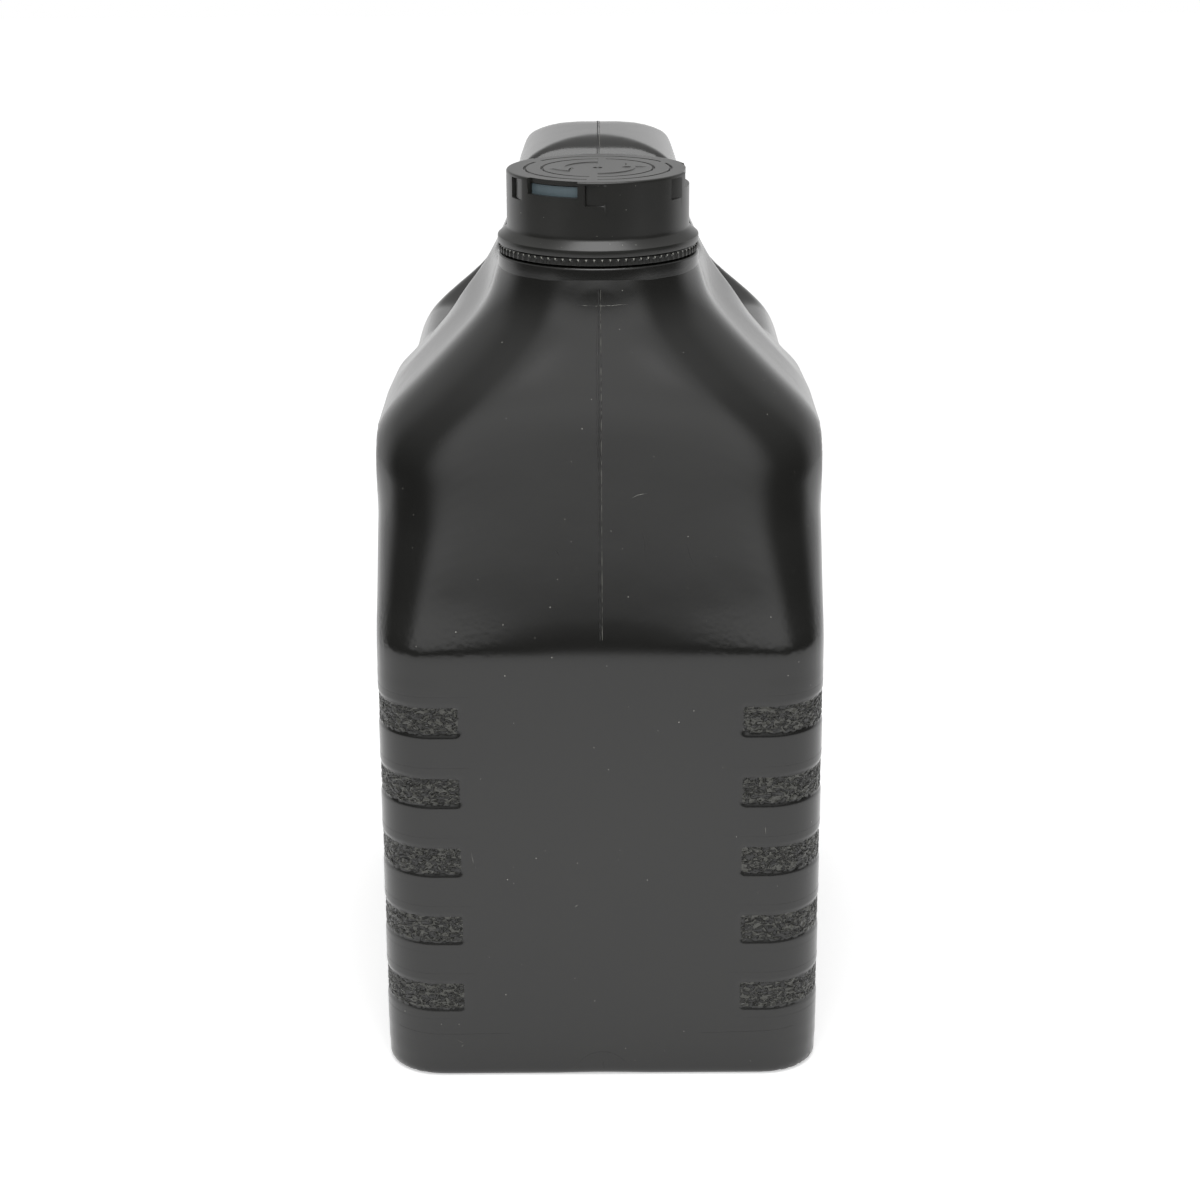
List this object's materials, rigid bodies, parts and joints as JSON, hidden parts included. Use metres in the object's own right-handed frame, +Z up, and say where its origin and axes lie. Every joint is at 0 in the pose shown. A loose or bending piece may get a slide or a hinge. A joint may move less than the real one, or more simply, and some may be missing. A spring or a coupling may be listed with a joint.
{
  "type": "motor oil bottle",
  "caption": "Black blow-moulded canister with an integral handle, an offset neck, raised grip bars and a windowed screw cap over a toothed tamper ring.",
  "frame": {"origin": "middle of the footprint, on the surface that the bottle stands on", "axes": "+Z up; -Y towards the end that carries the neck, +Y towards the end that carries the handle; +X across the width"},
  "size_m": [0.1334, 0.1954, 0.271],
  "materials": {
    "bottle_hdpe": "satin, as blown",
    "closure_pp": "satin, injection moulded",
    "inner_cap_pe": "satin, injection moulded",
    "liner_foam": "matt foam wad"
  },
  "bodies": {
    "bottle": {"bottle_body": "bottle_hdpe", "tamper_ring": "closure_pp"},
    "liner": {"sealing_liner": "liner_foam"},
    "cap": {"inner_cap": "inner_cap_pe", "cap_shell": "closure_pp"}
  },
  "joints": [
    {"name": "cap_rise", "type": "slide", "parent": "bottle", "child": "liner", "axis": [0, 0, 1], "range_m": [0, 0.00675]},
    {"name": "cap_turn", "type": "hinge", "parent": "liner", "child": "cap", "pos_m": [0, -0.0368, 0.25], "axis": [0, 0, 1], "range_deg": [0, 540]}
  ],
  "couplings": [
    {"joint": "cap_rise", "follows": "cap_turn", "m_per_rad": 0.0007162}
  ]
}
